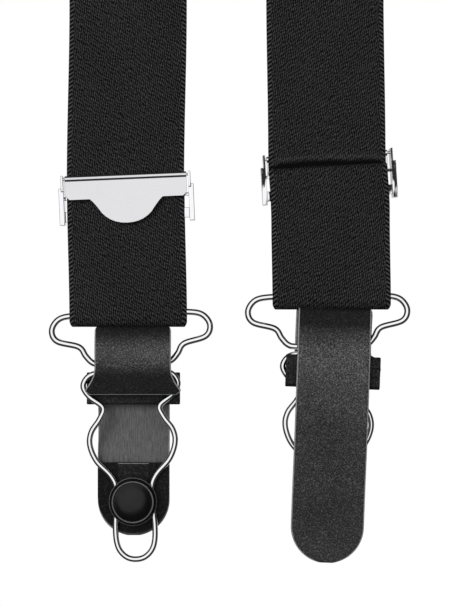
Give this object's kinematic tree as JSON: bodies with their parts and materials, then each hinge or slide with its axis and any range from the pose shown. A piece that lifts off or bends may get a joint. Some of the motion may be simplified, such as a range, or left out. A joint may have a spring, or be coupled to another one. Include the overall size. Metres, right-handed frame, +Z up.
{
  "type": "suspenders",
  "caption": "Black Y-back elastic suspenders with sliding cam adjusters, wire rings and leather hangers whose wire clips close over buttons.",
  "frame": {"origin": "top of the bar under the shoulder bend, midway between the two front straps", "axes": "+Z up; -Y is the wearer's front; +X is to the right as seen from the front"},
  "size_m": [0.1076, 0.0455, 0.5916],
  "materials": {
    "elastic": "matt woven elastic with fine slanting ribs",
    "leather": "black grained leather, low sheen",
    "inner_leather": "smooth dark inner leather",
    "chrome": "bright nickel chrome",
    "button": "glossy black rubber"
  },
  "bodies": {
    "root": {"left_strap": "elastic", "left_strap_return": "elastic", "right_strap": "elastic", "right_strap_return": "elastic", "back_strap": "elastic", "back_strap_return": "elastic", "patch_outer": "leather", "patch_inner": "leather"},
    "left_adjuster": {"left_adjuster_frame": "chrome", "left_adjuster_pin": "chrome"},
    "left_cover": {"left_adjuster_cover": "chrome"},
    "left_ring": {"left_ring": "chrome"},
    "left_leather": {"left_leather_hanger": "leather", "left_leather_end_block": "leather", "left_button_backing": "inner_leather", "left_button": "button"},
    "left_clip": {"left_clip_wire": "chrome"},
    "right_adjuster": {"right_adjuster_frame": "chrome", "right_adjuster_pin": "chrome"},
    "right_cover": {"right_adjuster_cover": "chrome"},
    "right_ring": {"right_ring": "chrome"},
    "right_leather": {"right_leather_hanger": "leather", "right_leather_end_block": "leather", "right_button_backing": "inner_leather", "right_button": "button"},
    "right_clip": {"right_clip_wire": "chrome"},
    "back_ring": {"back_ring": "chrome"},
    "back_leather": {"back_leather_hanger": "leather", "back_leather_end_block": "leather", "back_button_backing": "inner_leather", "back_button": "button"},
    "back_clip": {"back_clip_wire": "chrome"}
  },
  "joints": [
    {"name": "left_adjuster_slide", "type": "slide", "parent": "root", "child": "left_adjuster", "axis": [0, 0, 1], "range_m": [-0.015, 0.15], "deforming": ["left_strap_return"]},
    {"name": "left_cover_hinge", "type": "hinge", "parent": "left_adjuster", "child": "left_cover", "pos_m": [-0.03, -0.0147, -0.4756], "axis": [-0.9991, 0, -0.0419], "range_deg": [0, 100]},
    {"name": "left_ring_hinge", "type": "hinge", "parent": "root", "child": "left_ring", "pos_m": [-0.0296, -0.0108, -0.5164], "axis": [0.9994, 0, 0.0349], "range_deg": [-50, 50]},
    {"name": "left_leather_hinge", "type": "hinge", "parent": "left_ring", "child": "left_leather", "pos_m": [-0.0288, -0.0108, -0.5312], "axis": [0.9994, 0, 0.0349], "range_deg": [-40, 40]},
    {"name": "left_clip_slide", "type": "slide", "parent": "left_leather", "child": "left_clip", "axis": [-0.0209, 0, 0.9998], "range_m": [-0.004, 0.0003]},
    {"name": "right_adjuster_slide", "type": "slide", "parent": "root", "child": "right_adjuster", "axis": [0, 0, 1], "range_m": [-0.015, 0.15], "deforming": ["right_strap_return"]},
    {"name": "right_cover_hinge", "type": "hinge", "parent": "right_adjuster", "child": "right_cover", "pos_m": [0.03, -0.0107, -0.4692], "axis": [0.9982, 0, 0.0593], "range_deg": [0, 100]},
    {"name": "right_ring_hinge", "type": "hinge", "parent": "root", "child": "right_ring", "pos_m": [0.0292, -0.0146, -0.5112], "axis": [0.9999, 0, 0.0122], "range_deg": [-50, 50]},
    {"name": "right_leather_hinge", "type": "hinge", "parent": "right_ring", "child": "right_leather", "pos_m": [0.0302, -0.0146, -0.526], "axis": [0.9999, 0, 0.0122], "range_deg": [-40, 40]},
    {"name": "right_clip_slide", "type": "slide", "parent": "right_leather", "child": "right_clip", "axis": [0.0384, 0, 0.9993], "range_m": [-0.004, 0.0003]},
    {"name": "back_ring_hinge", "type": "hinge", "parent": "root", "child": "back_ring", "pos_m": [0, 0.0108, -0.3064], "axis": [1, 0, 0], "range_deg": [-15, 50]},
    {"name": "back_leather_hinge", "type": "hinge", "parent": "back_ring", "child": "back_leather", "pos_m": [0, 0.0108, -0.3212], "axis": [1, 0, 0], "range_deg": [-10, 40]},
    {"name": "back_clip_slide", "type": "slide", "parent": "back_leather", "child": "back_clip", "axis": [0, 0, 1], "range_m": [-0.004, 0.0003]}
  ]
}
